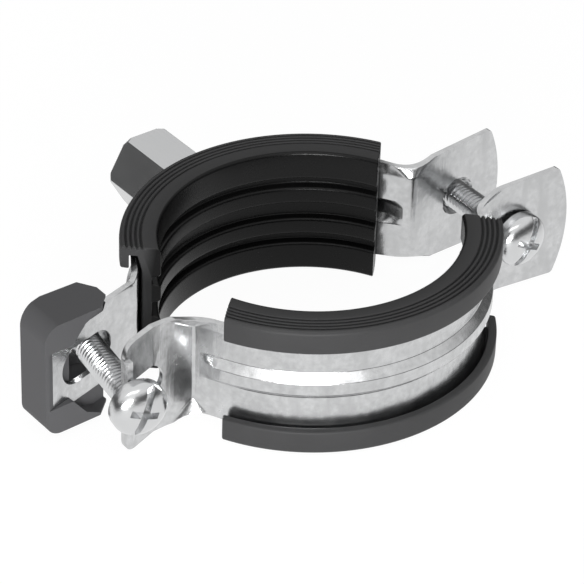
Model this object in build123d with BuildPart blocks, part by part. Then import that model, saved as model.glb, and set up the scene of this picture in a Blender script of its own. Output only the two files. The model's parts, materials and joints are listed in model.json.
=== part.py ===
from build123d import *

import os
from math import acos, atan2, cos, degrees, pi, radians, sin, sqrt, tan

# Pipe seat and linings
seat_radius = 25.0
lining_wall = 3.0
ridge_depth = 1.4
middle_recess_half = 1.3
inner_ridge_width = 3.6
side_recess_width = 1.3
lining_outer_angle = 60.0
lining_inner_angle = 64.2
rear_lining_turn = 1.5
front_lining_turn = 2.6
lip_bridge = 1.8
lip_height = 4.3
lip_wall = 1.4
lip_clearance = 0.05
lip_play = 0.3
band_side_clearance = 0.1
lining_crown = 0.45

# Bands
sheet = 1.0
band_half_width = 9.9
rib_half_width = 2.4
rib_top_half_width = 1.05
rib_height = 1.35
panel_half_width = 7.05
edge_rise = 0.7
crease_radius = 0.7
edge_bend_radius = 8.0
rib_run_out = 3.6
rib_end_gap = 0.7
rear_crease_gap = 1.29
rear_right_offset = 9.08
rear_left_offset = 9.4
front_crease_gap = 0.68
front_ear_offset = 6.7
front_center_x = 1.8
front_center_y = 3.1

# Ears
ear_overhang = 0.6
ear_bow = 2.3
ear_corner_radius = 0.8
waist_start = 23.2
waist_middle = 28.0
waist_end = 32.8
waist_depth = 0.9
waist_end_overhang = 0.15
rear_right_tilt = 3.3
rear_right_length = 16.65
front_right_tilt = 4.5
front_right_length = 16.4
front_left_tilt = 2.0
front_left_length = 7.6
flare_tilt = 19.0
flare_length = 7.0
flare_overhang = 0.4
flare_corner_radius = 2.5
rim_depth = 1.85
slot_half_height = 2.9
slot_end_reach = 2.0
rear_left_tilt = -16.0
tongue_length = 19.1
tongue_shoulder_reach = 6.6
tongue_narrow_reach = 7.2
tongue_shoulder_inset = 1.8
tongue_inset = 3.1
tongue_hole_reach = 11.1
tongue_hole_length = 11.5
tongue_hole_height = 7.0
right_screw_reach = 9.75
collar_wall = 1.2
collar_height = 2.0
collar_dish_radius = 3.7
collar_dish_depth = 0.9

# Screws
screw_radius = 2.45
screw_length = 25.0
screw_point = 0.6
thread_clearance = 0.05
pass_clearance = 0.4
head_radius = 4.75
head_side_height = 1.4
head_cap_radius = 3.4
head_shoulder_height = 3.1
head_flat_radius = 1.6
head_height = 3.7
drive_slot_width = 1.2
drive_depth = 1.7
cross_length = 5.0
right_head_play = 0.15
left_screw_tilt = 9.0
left_screw_reach = 9.45
left_head_play = 0.3

# Plastic clip and its nut
clip_end_gap = 0.8
clip_side_wall = 0.8
clip_lip = 0.4
clip_depth = 8.5
clip_left_depth = 7.1
clip_overhang = 0.5
clip_corner_radius = 3.0
clip_back_slant = 4.6
arm_tip_reach = 10.1
arm_tip_depth = 0.4
arm_widest_reach = 7.25
arm_widest_depth = 3.0
arm_waist_depth = 5.5
arm_back_reach = 9.1
arm_wall = 0.5
window_inset = 4.5
window_mouth_inset = 1.3
window_bend_reach = 5.3
window_mouth_reach = 7.9
clip_clearance = 0.05
nut_width = 8.0
nut_thickness = 2.7
nut_clearance = 0.3
nut_travel = 1.4
channel_wall = 0.8
channel_clearance = 0.15
channel_end_reach = 5.0
screw_slot_clearance = 0.7

# Connection nut
connection_flats = 13.0
connection_end_y = 48.0
connection_chamfer = 1.0
large_bore_radius = 4.3
large_bore_depth = 9.5
small_bore_radius = 3.4
small_bore_depth = 16.5
seat_gap = 0.02

steel_inner = seat_radius + lining_wall
steel_middle = steel_inner + sheet / 2
steel_outer = steel_inner + sheet
rib_outer = steel_outer + rib_height
lip_inner = steel_outer + edge_rise + lip_play
lip_outer = lip_inner + lip_wall
lining_half_width = band_half_width + band_side_clearance + lip_bridge
bend_mid = crease_radius + sheet / 2
edge_bend_mid = edge_bend_radius + sheet / 2
ear_half_height = band_half_width + ear_overhang
ear_top = ear_half_height + sheet
waist_half_height = band_half_width - waist_depth
waist_end_half_height = band_half_width + waist_end_overhang
flare_half_height = band_half_width + flare_overhang
tongue_half_height = band_half_width - tongue_inset
tongue_shoulder_half_height = band_half_width - tongue_shoulder_inset
clip_half_height = band_half_width + clip_overhang
window_half_height = band_half_width - window_inset
window_mouth_half_height = band_half_width - window_mouth_inset
arm_half_height = clip_half_height - arm_wall
tilt_sin = sin(radians(left_screw_tilt))
tilt_cos = cos(radians(left_screw_tilt))
tilt_tan = tan(radians(left_screw_tilt))

REAR = (0.0, 0.0, 1)
FRONT = (front_center_x, front_center_y, -1)

os.makedirs("parts", exist_ok=True)


class Neck:
    """Plan of one neck and ear: the sheet's middle line leaves the ring and bends outward."""

    def __init__(self, place, side, crease_gap, ear_offset, tilt):
        self.place = place
        self.side = side
        self.tilt = radians(tilt)
        self.along = (cos(self.tilt), sin(self.tilt))
        self.across = (-sin(self.tilt), cos(self.tilt))
        reach = steel_middle + bend_mid + crease_gap
        bend_v = ear_offset + sheet / 2 + bend_mid
        self.bend = (sqrt(reach**2 - bend_v**2), bend_v)
        self.leave = atan2(*self.bend) - acos((steel_middle + bend_mid) / reach)
        self.run = sqrt(reach**2 - (steel_middle + bend_mid) ** 2)
        foot_u = self.bend[0] - bend_mid * self.across[0] + edge_bend_mid * self.across[0]
        foot_v = self.bend[1] - bend_mid * self.across[1] + edge_bend_mid * self.across[1]
        reach = steel_middle + edge_rise + edge_bend_mid
        back = foot_u * self.along[0] + foot_v * self.along[1]
        shift = sqrt(back**2 - foot_u**2 - foot_v**2 + reach**2) - back
        self.edge_bend = (foot_u + shift * self.along[0], foot_v + shift * self.along[1])
        self.edge_leave = atan2(*self.edge_bend)

    def at(self, u, v):
        x, y, facing = self.place
        return (x + self.side * u, y + facing * v)

    def ring(self, radius, angle):
        return self.at(radius * sin(angle), radius * cos(angle))

    def bend_point(self, center, radius, angle):
        return self.at(center[0] - radius * sin(angle), center[1] - radius * cos(angle))

    def ear_point(self, u, off):
        """Point at plan distance u, the given distance off the ear's middle plane."""
        start_u = self.bend[0] - bend_mid * self.across[0]
        start_v = self.bend[1] - bend_mid * self.across[1]
        step = (u - start_u + off * sin(self.tilt)) / self.along[0]
        return self.at(
            start_u + step * self.along[0] + off * self.across[0],
            start_v + step * self.along[1] + off * self.across[1],
        )

    def panel_outline(self, height, end_u):
        """Middle panel: straight run from the ring, sharp crease, flat ear."""
        leave = self.leave
        half = sheet / 2
        with BuildSketch(Plane.XY.offset(height)) as plan:
            with BuildLine():
                in_a = self.ring(steel_middle - half, leave)
                in_b = self.bend_point(self.bend, bend_mid + half, leave)
                in_m = self.bend_point(self.bend, bend_mid + half, (leave - self.tilt) / 2)
                in_c = self.bend_point(self.bend, bend_mid + half, -self.tilt)
                in_d = self.ear_point(end_u, -half)
                out_d = self.ear_point(end_u, half)
                out_c = self.bend_point(self.bend, bend_mid - half, -self.tilt)
                out_m = self.bend_point(self.bend, bend_mid - half, (leave - self.tilt) / 2)
                out_b = self.bend_point(self.bend, bend_mid - half, leave)
                out_a = self.ring(steel_middle + half, leave)
                Line(in_a, in_b)
                ThreePointArc(in_b, in_m, in_c)
                Line(in_c, in_d)
                Line(in_d, out_d)
                Line(out_d, out_c)
                ThreePointArc(out_c, out_m, out_b)
                Line(out_b, out_a)
                Line(out_a, in_a)
            make_face()
        return plan.sketch

    def edge_outline(self, height, end_u):
        """Edge of the sheet: stays on a wider circle, then turns in a soft bend."""
        half = sheet / 2
        ring = steel_middle + edge_rise
        leave = self.edge_leave
        with BuildSketch(Plane.XY.offset(height)) as plan:
            with BuildLine():
                in_a = self.ring(ring - half, self.leave)
                in_ab = self.ring(ring - half, (self.leave + leave) / 2)
                in_b = self.ring(ring - half, leave)
                in_m = self.bend_point(
                    self.edge_bend, edge_bend_mid + half, (leave - self.tilt) / 2
                )
                in_c = self.bend_point(self.edge_bend, edge_bend_mid + half, -self.tilt)
                in_d = self.ear_point(end_u, -half)
                out_d = self.ear_point(end_u, half)
                out_c = self.bend_point(self.edge_bend, edge_bend_mid - half, -self.tilt)
                out_m = self.bend_point(
                    self.edge_bend, edge_bend_mid - half, (leave - self.tilt) / 2
                )
                out_b = self.ring(ring + half, leave)
                out_ab = self.ring(ring + half, (self.leave + leave) / 2)
                out_a = self.ring(ring + half, self.leave)
                ThreePointArc(in_a, in_ab, in_b)
                ThreePointArc(in_b, in_m, in_c)
                Line(in_c, in_d)
                Line(in_d, out_d)
                Line(out_d, out_c)
                ThreePointArc(out_c, out_m, out_b)
                ThreePointArc(out_b, out_ab, out_a)
                Line(out_a, in_a)
            make_face()
        return plan.sketch

    def rib_slice(self, distance, base, scale):
        """Rib shape across the straight run, at a distance from where it leaves the ring."""
        x, y, facing = self.place
        out = (self.side * sin(self.leave), facing * cos(self.leave))
        run = (self.side * cos(self.leave), -facing * sin(self.leave))
        start = self.ring(base, self.leave)
        plane = Plane(
            origin=(start[0] + run[0] * distance, start[1] + run[1] * distance, 0),
            x_dir=(out[0], out[1], 0),
            z_dir=(run[0], run[1], 0),
        )
        with BuildSketch(plane) as cut:
            with BuildLine():
                Polyline(
                    (-sheet / 4, -rib_half_width),
                    (0, -rib_half_width),
                    (rib_height * scale, -rib_top_half_width),
                    (rib_height * scale, rib_top_half_width),
                    (0, rib_half_width),
                    (-sheet / 4, rib_half_width),
                    close=True,
                )
            make_face()
        return cut.sketch


def ear_blank(neck, end_u, side_cut, flare=None):
    """Neck and ear, with a flared end if there is one, cut to its side outline."""
    low_panel = neck.panel_outline(0, end_u)
    top_panel = neck.panel_outline(panel_half_width, end_u)
    low_edge = neck.edge_outline(band_half_width, end_u)
    rib_length = neck.run - rib_end_gap - rib_run_out
    rib_a = neck.rib_slice(0, steel_outer, 1)
    rib_b = neck.rib_slice(rib_length, steel_outer, 1)
    rib_c = neck.rib_slice(rib_length + rib_run_out, steel_outer, 0.04)
    hollow_a = neck.rib_slice(0, steel_inner, 1)
    hollow_b = neck.rib_slice(rib_length, steel_inner, 1)
    hollow_c = neck.rib_slice(rib_length + rib_run_out, steel_inner, 0.04)
    with BuildPart() as blank:
        extrude(low_panel, amount=panel_half_width)
        loft([top_panel, low_edge], ruled=True)
        extrude(low_edge, amount=ear_top - band_half_width)
        if flare:
            extrude(flare, amount=ear_top)
        mirror(about=Plane.XY)
        extrude(side_cut, amount=90, both=True, mode=Mode.INTERSECT)
        loft([rib_a, rib_b], ruled=True)
        loft([rib_b, rib_c], ruled=True)
        loft([hollow_a, hollow_b], ruled=True, mode=Mode.SUBTRACT)
        loft([hollow_b, hollow_c], ruled=True, mode=Mode.SUBTRACT)
    return blank.part


def side_outline(neck, end_x, half_height, bow, corner_radius):
    """Side view of a neck and ear: narrowed waist, nearly straight edges, bowed or straight end."""
    inner = neck.at(waist_start / 2, 0)[0]
    start = neck.at(waist_start, 0)[0]
    waist = neck.at(waist_middle, 0)[0]
    shoulder = neck.at(waist_end, 0)[0]
    with BuildSketch(Plane.XZ) as outline:
        with BuildLine():
            for z in (-1, 1):
                Line((inner, z * band_half_width), (start, z * band_half_width))
                ThreePointArc(
                    (start, z * band_half_width),
                    (waist, z * waist_half_height),
                    (shoulder, z * waist_end_half_height),
                )
                Line((shoulder, z * waist_end_half_height), (end_x, z * half_height))
            if bow:
                ThreePointArc(
                    (end_x, -half_height),
                    (end_x + neck.side * bow, 0),
                    (end_x, half_height),
                )
            else:
                Line((end_x, -half_height), (end_x, half_height))
            Line((inner, -band_half_width), (inner, band_half_width))
        make_face()
        outer = outline.vertices().filter_by(lambda v: abs(v.X - end_x) < 0.01)
        fillet(outer, radius=corner_radius)
    return outline.sketch


def flare_plan(neck, start_u, end_u):
    """Plan of the outer panel of the left front ear, turned away from the gap."""
    gap_start = neck.ear_point(start_u, -sheet / 2)
    bisector = radians(flare_tilt + front_left_tilt) / 2
    miter = sheet / cos(radians(flare_tilt - front_left_tilt) / 2)
    rise = (end_u - start_u) * tan(radians(flare_tilt))
    thick = sheet / cos(radians(flare_tilt))
    side, facing = neck.side, neck.place[2]
    end_x = gap_start[0] + side * (end_u - start_u)
    with BuildSketch(Plane.XY) as plan:
        with BuildLine():
            Polyline(
                gap_start,
                (end_x, gap_start[1] + facing * rise),
                (end_x, gap_start[1] + facing * (rise + thick)),
                (
                    gap_start[0] - side * miter * sin(bisector),
                    gap_start[1] + facing * miter * cos(bisector),
                ),
                close=True,
            )
        make_face()
    return plan.sketch


def ring_section(place, angle):
    """Half cross-section of the formed band, from the middle plane up."""
    plane = Plane(
        origin=(place[0], place[1], 0),
        x_dir=(cos(radians(angle)), sin(radians(angle)), 0),
        z_dir=(sin(radians(angle)), -cos(radians(angle)), 0),
    )
    with BuildSketch(plane) as section:
        with BuildLine():
            Polyline(
                (steel_inner + rib_height, 0),
                (steel_inner + rib_height, rib_top_half_width),
                (steel_inner, rib_half_width),
                (steel_inner, panel_half_width),
                (steel_inner + edge_rise, band_half_width),
                (steel_outer + edge_rise, band_half_width),
                (steel_outer, panel_half_width),
                (steel_outer, rib_half_width),
                (rib_outer, rib_top_half_width),
                (rib_outer, 0),
            )
            Line((rib_outer, 0), (steel_inner + rib_height, 0))
        make_face()
    return section.sketch


def band_ring(place, right_leave, left_leave):
    """Formed steel between the two necks of one half."""
    first = 90 - degrees(right_leave) if place[2] > 0 else 270 - degrees(left_leave)
    section = ring_section(place, first)
    turn = degrees(right_leave + left_leave)
    with BuildPart() as ring:
        revolve(section, axis=Axis((place[0], place[1], 0), (0, 0, 1)), revolution_arc=turn)
        mirror(about=Plane.XY)
    return ring.part


def lining_section(place, angle):
    """Half cross-section of the rubber, from the middle plane up."""
    floor = seat_radius + ridge_depth
    ridge_end = middle_recess_half + inner_ridge_width
    side_ridge = ridge_end + side_recess_width
    slot_half = band_half_width + band_side_clearance
    face = lining_half_width
    plane = Plane(
        origin=(place[0], place[1], 0),
        x_dir=(cos(radians(angle)), sin(radians(angle)), 0),
        z_dir=(sin(radians(angle)), -cos(radians(angle)), 0),
    )
    with BuildSketch(plane) as section:
        with BuildLine():
            Polyline(
                (floor, 0),
                (floor, middle_recess_half),
                (seat_radius, middle_recess_half + ridge_depth / 4),
                (seat_radius, ridge_end - ridge_depth / 4),
                (floor, ridge_end),
                (floor, side_ridge),
                (seat_radius, side_ridge + ridge_depth / 4),
                (seat_radius, face - lining_crown),
                (seat_radius + lining_crown, face),
                (lip_outer, face),
                (lip_outer, face - lip_height),
                (lip_inner, face - lip_height),
                (lip_inner, slot_half),
                (steel_inner + edge_rise - lip_clearance, slot_half),
                (steel_inner - lip_clearance, panel_half_width + lip_clearance),
                (steel_inner - lip_clearance, 0),
                close=True,
            )
        make_face()
    return section.sketch


def lining(place, turn):
    """Rubber with slanted ends, because its inner side is squeezed by the bending."""
    facing = place[2]
    reach = lining_inner_angle + abs(turn) + 1
    section = lining_section(place, 90 - reach if facing > 0 else 270 - reach)
    axis = Axis((place[0], place[1], 0), (0, 0, 1))
    corners = []
    for side in (1, -1):
        inner_turn = radians(side * lining_inner_angle - turn)
        outer_turn = radians(side * lining_outer_angle - turn)
        inner = Vector(seat_radius * sin(inner_turn), facing * seat_radius * cos(inner_turn))
        outer = Vector(lip_outer * sin(outer_turn), facing * lip_outer * cos(outer_turn))
        slant = outer - inner
        corners.append((inner - slant, outer + 3 * slant))
    middle = Vector(place[0], place[1])
    with BuildPart() as rubber:
        revolve(section, axis=axis, revolution_arc=2 * reach)
        mirror(about=Plane.XY)
        with BuildSketch(Plane.XY):
            with BuildLine():
                Polyline(
                    middle + corners[0][0],
                    middle + corners[0][1],
                    middle + corners[1][1],
                    middle + corners[1][0],
                    close=True,
                )
            make_face()
        extrude(amount=2 * lining_half_width, both=True, mode=Mode.INTERSECT)
    return rubber.part


def pan_head_screw(base, head_dir):
    """Screw with its head base at the given point, head on the side of head_dir."""
    side_dir = (head_dir[1], -head_dir[0], 0)
    profile = Plane(origin=base, x_dir=side_dir, z_dir=(0, 0, 1))
    top = Plane(origin=base, x_dir=side_dir, z_dir=head_dir).offset(head_height)
    with BuildPart() as screw:
        with BuildSketch(profile):
            with BuildLine():
                Polyline(
                    (0, head_height),
                    (0, -screw_length),
                    (screw_radius - screw_point, -screw_length),
                    (screw_radius, screw_point - screw_length),
                    (screw_radius, 0),
                    (head_radius, 0),
                    (head_radius, head_side_height),
                    (head_cap_radius, head_shoulder_height),
                    (head_flat_radius, head_height),
                    close=True,
                )
            make_face()
        revolve(axis=Axis(base, head_dir))
        with BuildSketch(top):
            Rectangle(2 * head_radius + 1, drive_slot_width)
            Rectangle(drive_slot_width, cross_length)
        extrude(amount=-drive_depth, mode=Mode.SUBTRACT)
    return screw.part


# Necks, and places measured from their creases
rear_right = Neck(REAR, 1, rear_crease_gap, rear_right_offset, rear_right_tilt)
rear_left = Neck(REAR, -1, rear_crease_gap, rear_left_offset, rear_left_tilt)
front_right = Neck(FRONT, 1, front_crease_gap, front_ear_offset, front_right_tilt)
front_left = Neck(FRONT, -1, front_crease_gap, front_ear_offset, front_left_tilt)

rear_crease_x = rear_right.bend[0]
rear_right_end_x = rear_crease_x + rear_right_length
right_screw_x = rear_crease_x + right_screw_reach
front_right_end_x = front_center_x + front_right.bend[0] + front_right_length
flare_start_u = front_left.bend[0] + front_left_length
flare_end_u = flare_start_u + flare_length
flare_end_x = front_center_x - flare_end_u
slot_end_x = front_center_x - flare_start_u + slot_end_reach
left_crease_x = -rear_left.bend[0]
tongue_end_x = left_crease_x - tongue_length
tongue_shoulder_x = left_crease_x - tongue_shoulder_reach
tongue_narrow_x = left_crease_x - tongue_narrow_reach
tongue_hole_x = left_crease_x - tongue_hole_reach


def tongue_front(x):
    """Gap side of the slanted tongue at a given x."""
    return rear_left.ear_point(-x, -sheet / 2)[1]


def tongue_back(x):
    return rear_left.ear_point(-x, sheet / 2)[1]


# Rear steel half
rear_ring = band_ring(REAR, rear_right.leave, rear_left.leave)
rear_right_ear = ear_blank(
    rear_right,
    rear_right_end_x + ear_bow + 2,
    side_outline(rear_right, rear_right_end_x, ear_half_height, ear_bow, ear_corner_radius),
)

with BuildSketch(Plane.XZ) as tongue_outline:
    with BuildLine():
        Polyline(
            (-waist_start / 2, -band_half_width),
            (-waist_start, -band_half_width),
            (left_crease_x, -tongue_shoulder_half_height),
            (tongue_shoulder_x, -tongue_shoulder_half_height),
            (tongue_narrow_x, -tongue_half_height),
            (tongue_end_x, -tongue_half_height),
            (tongue_end_x, tongue_half_height),
            (tongue_narrow_x, tongue_half_height),
            (tongue_shoulder_x, tongue_shoulder_half_height),
            (left_crease_x, tongue_shoulder_half_height),
            (-waist_start, band_half_width),
            (-waist_start / 2, band_half_width),
            close=True,
        )
    make_face()
    with Locations((tongue_hole_x, 0)):
        SlotOverall(tongue_hole_length, tongue_hole_height, mode=Mode.SUBTRACT)
rear_left_ear = ear_blank(rear_left, -tongue_end_x + 1, tongue_outline.sketch)

collar_face = rear_right.ear_point(right_screw_x, sheet / 2)[1]
rear_strip = rear_left_ear + rear_ring + rear_right_ear
with BuildPart() as rear_band:
    add(rear_strip)
    with BuildSketch(Plane((right_screw_x, collar_face - sheet / 2, 0), (1, 0, 0), (0, 1, 0))):
        Circle(screw_radius + thread_clearance + collar_wall)
    extrude(amount=collar_height + sheet / 2)
    with BuildSketch(Plane((right_screw_x, 0, 0), (1, 0, 0), (0, 1, 0))):
        Circle(screw_radius + thread_clearance)
    extrude(amount=collar_face + collar_height + 1, mode=Mode.SUBTRACT)
    with BuildSketch(Plane((right_screw_x, collar_face - 1.2 * sheet, 0), (1, 0, 0), (0, 1, 0))):
        Circle(collar_dish_radius)
    extrude(amount=collar_dish_depth + 0.2 * sheet, taper=45, mode=Mode.SUBTRACT)
rear_band.part.label = "rear_band"
export_step(rear_band.part, "parts/rear_band.step")

# Front steel half
front_ring = band_ring(FRONT, front_right.leave, front_left.leave)
front_right_ear = ear_blank(
    front_right,
    front_right_end_x - front_center_x + ear_bow + 2,
    side_outline(front_right, front_right_end_x, ear_half_height, ear_bow, ear_corner_radius),
)
front_left_ear = ear_blank(
    front_left,
    flare_start_u,
    side_outline(front_left, flare_end_x, flare_half_height, 0, flare_corner_radius),
    flare_plan(front_left, flare_start_u, flare_end_u),
)
flare_rise = flare_length * tan(radians(flare_tilt))
rim_gap_y = front_left.ear_point(flare_start_u, -sheet / 2)[1] - flare_rise
rim_y = rim_gap_y - rim_depth
front_strip = front_left_ear + front_ring + front_right_ear
with BuildPart() as front_band:
    add(front_strip)
    with BuildSketch(Plane.XY):
        with BuildLine():
            Polyline(
                (flare_end_x, rim_gap_y),
                (flare_end_x, rim_y),
                (flare_end_x + sheet, rim_y),
                (flare_end_x + sheet, rim_gap_y - sheet / 2),
                close=True,
            )
        make_face()
    extrude(amount=flare_half_height - flare_corner_radius, both=True)
    with BuildSketch(Plane.XZ):
        with Locations((right_screw_x, 0)):
            Circle(screw_radius + pass_clearance)
        with Locations((slot_end_x - slot_half_height, 0)):
            Circle(slot_half_height)
        with Locations((slot_end_x - slot_half_height - flare_length, 0)):
            Rectangle(2 * flare_length, 2 * slot_half_height)
    extrude(amount=30, mode=Mode.SUBTRACT)
front_band.part.label = "front_band"
export_step(front_band.part, "parts/front_band.step")

# Linings
rear_rubber = lining(REAR, rear_lining_turn)
rear_rubber.label = "rear_lining"
export_step(rear_rubber, "parts/rear_lining.step")
front_rubber = lining(FRONT, front_lining_turn)
front_rubber.label = "front_lining"
export_step(front_rubber, "parts/front_lining.step")

# Places of the screws and the square nut
left_screw_through_x = left_crease_x - left_screw_reach
left_screw_through_y = tongue_front(left_screw_through_x)
left_head_base_y = rim_y - left_head_play
right_head_edge_u = right_screw_x - front_center_x + head_radius
right_head_base_y = front_right.ear_point(right_head_edge_u, sheet / 2)[1] - right_head_play
tongue_lean = radians(-rear_left_tilt)
nut_lean = radians(left_screw_tilt) + tongue_lean
nut_stand = nut_thickness / 2 * cos(nut_lean) + nut_width / 2 * sin(nut_lean) + nut_clearance
nut_rise = (sheet + nut_stand) / cos(tongue_lean) / (1 - tilt_tan * tan(tongue_lean))
nut_center_y = left_screw_through_y + nut_rise
nut_half_x = nut_width / 2 * tilt_cos + nut_thickness / 2 * tilt_sin
nut_half_y = nut_width / 2 * tilt_sin + nut_thickness / 2 * tilt_cos


def left_screw_x(y):
    return left_screw_through_x + (y - left_screw_through_y) * tilt_tan


# Screws
left_screw = pan_head_screw(
    (left_screw_x(left_head_base_y), left_head_base_y, 0), (-tilt_sin, -tilt_cos, 0)
)
left_screw.label = "left_screw"
export_step(left_screw, "parts/left_screw.step")
right_screw = pan_head_screw((right_screw_x, right_head_base_y, 0), (0, -1, 0))
right_screw.label = "right_screw"
export_step(right_screw, "parts/right_screw.step")

# Plastic clip
clip_left_x = tongue_end_x - clip_end_gap - clip_side_wall
clip_right_x = left_crease_x - arm_widest_reach
clip_front_y = tongue_front(tongue_end_x) - clip_lip
clip_back_y = clip_front_y + clip_depth
arm_tip_x = left_crease_x - arm_tip_reach
pocket_half = nut_width / 2 + channel_clearance
pocket_left_x = left_screw_x(nut_center_y) - nut_half_x - nut_travel - channel_clearance
pocket_back = nut_center_y + nut_half_y + channel_clearance
channel_end_x = left_crease_x - channel_end_reach
screw_slot_x = left_screw_x(pocket_back) - nut_travel - screw_radius - screw_slot_clearance

with BuildPart() as window_space:
    with BuildSketch(Plane.XY):
        with BuildLine():
            Polyline(
                (clip_left_x, 0),
                (channel_end_x, 0),
                (channel_end_x, tongue_front(channel_end_x)),
                (clip_left_x, tongue_front(clip_left_x)),
                close=True,
            )
        make_face()
    extrude(amount=clip_half_height, both=True)
    with BuildSketch(Plane.XZ):
        with BuildLine():
            Polyline(
                (clip_left_x + clip_side_wall, -window_half_height),
                (clip_left_x + window_bend_reach, -window_half_height),
                (clip_left_x + window_mouth_reach, -window_mouth_half_height),
                (arm_tip_x, -arm_half_height),
                (channel_end_x, -arm_half_height),
                (channel_end_x, arm_half_height),
                (arm_tip_x, arm_half_height),
                (clip_left_x + window_mouth_reach, window_mouth_half_height),
                (clip_left_x + window_bend_reach, window_half_height),
                (clip_left_x + clip_side_wall, window_half_height),
                close=True,
            )
        make_face()
    extrude(amount=2 * clip_back_y, both=True, mode=Mode.INTERSECT)

with BuildPart() as screw_retainer:
    with BuildSketch(Plane.XY):
        with BuildLine():
            Polyline(
                (clip_left_x, clip_front_y),
                (arm_tip_x, clip_front_y + arm_tip_depth),
                (clip_right_x, clip_front_y + arm_widest_depth),
                (clip_right_x, clip_front_y + arm_waist_depth),
                (left_crease_x - arm_back_reach, clip_back_y),
                (clip_left_x + clip_back_slant, clip_back_y),
                (clip_left_x, clip_front_y + clip_left_depth),
                close=True,
            )
        make_face()
    extrude(amount=clip_half_height, both=True)
    corners = screw_retainer.edges().filter_by(
        lambda e: abs(e.center().X - clip_left_x) < 0.01
        and abs(e.center().Z) > clip_half_height - 0.01
    )
    fillet(corners, radius=clip_corner_radius)
    with BuildSketch(Plane.XY):
        with BuildLine():
            Polyline(
                (pocket_left_x - channel_wall, clip_front_y + arm_waist_depth),
                (clip_right_x, tongue_back(clip_right_x)),
                (channel_end_x, tongue_back(channel_end_x) + clip_clearance),
                (channel_end_x, pocket_back + channel_wall),
                (pocket_left_x - channel_wall, pocket_back + channel_wall),
                close=True,
            )
        make_face()
    extrude(amount=pocket_half + channel_wall, both=True)
    add(window_space.part, mode=Mode.SUBTRACT)
    for left_x, half_height in (
        (tongue_end_x, tongue_half_height),
        (tongue_narrow_x, tongue_shoulder_half_height),
    ):
        with BuildSketch(Plane.XY):
            with BuildLine():
                Polyline(
                    (left_x - clip_clearance, tongue_front(left_x) - clip_clearance),
                    (channel_end_x, tongue_front(channel_end_x) - clip_clearance),
                    (channel_end_x, tongue_back(channel_end_x) + clip_clearance),
                    (left_x - clip_clearance, tongue_back(left_x) + clip_clearance),
                    close=True,
                )
            make_face()
        extrude(amount=half_height + clip_clearance, both=True, mode=Mode.SUBTRACT)
    with BuildSketch(Plane.XY):
        with BuildLine():
            Polyline(
                (pocket_left_x, tongue_back(pocket_left_x)),
                (channel_end_x, tongue_back(channel_end_x)),
                (channel_end_x, pocket_back),
                (pocket_left_x, pocket_back),
                close=True,
            )
        make_face()
    extrude(amount=pocket_half, both=True, mode=Mode.SUBTRACT)
    with BuildSketch(Plane.XY):
        with Locations(((screw_slot_x + channel_end_x) / 2, pocket_back + channel_wall / 2)):
            Rectangle(channel_end_x - screw_slot_x, 2 * channel_wall)
    extrude(amount=screw_radius + screw_slot_clearance, both=True, mode=Mode.SUBTRACT)
screw_retainer.part.label = "screw_retainer"
export_step(screw_retainer.part, "parts/screw_retainer.step")

# Nut of the left screw
nut_plane = Plane(
    origin=(left_screw_x(nut_center_y), nut_center_y, 0),
    x_dir=(tilt_cos, -tilt_sin, 0),
    z_dir=(tilt_sin, tilt_cos, 0),
)
with BuildPart() as retainer_nut:
    with BuildSketch(nut_plane):
        Rectangle(nut_width, nut_width)
        Circle(screw_radius + thread_clearance, mode=Mode.SUBTRACT)
    extrude(amount=nut_thickness / 2, both=True)
retainer_nut.part.label = "retainer_nut"
export_step(retainer_nut.part, "parts/retainer_nut.step")

# Connection nut
with BuildPart() as connection_nut:
    with BuildSketch(Plane((0, 0, 0), (1, 0, 0), (0, 1, 0))):
        RegularPolygon(connection_flats / 2, 6, major_radius=False)
    extrude(amount=connection_end_y)
    with BuildSketch(Plane((0, connection_end_y, 0), (1, 0, 0), (0, 1, 0))):
        Circle(connection_flats / 2 / cos(pi / 6) - connection_chamfer / 2)
    extrude(amount=-connection_end_y, taper=-30, mode=Mode.INTERSECT)
    with BuildSketch(Plane.XY):
        Circle(steel_outer + seat_gap)
    extrude(amount=connection_flats, both=True, mode=Mode.SUBTRACT)
    with BuildSketch(Plane.XY):
        Circle(rib_outer + seat_gap)
    extrude(amount=rib_half_width, both=True, mode=Mode.SUBTRACT)
    with BuildSketch(Plane((0, connection_end_y, 0), (1, 0, 0), (0, 1, 0))):
        Circle(large_bore_radius)
    extrude(amount=-large_bore_depth, mode=Mode.SUBTRACT)
    with BuildSketch(Plane((0, connection_end_y, 0), (1, 0, 0), (0, 1, 0))):
        Circle(small_bore_radius)
    extrude(amount=-small_bore_depth, mode=Mode.SUBTRACT)
connection_nut.part.label = "connection_nut"
export_step(connection_nut.part, "parts/connection_nut.step")
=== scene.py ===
import json
import math

import bmesh
import bpy
from bpy.props import FloatProperty, FloatVectorProperty, IntProperty, PointerProperty
from mathutils import Matrix, Vector


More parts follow.
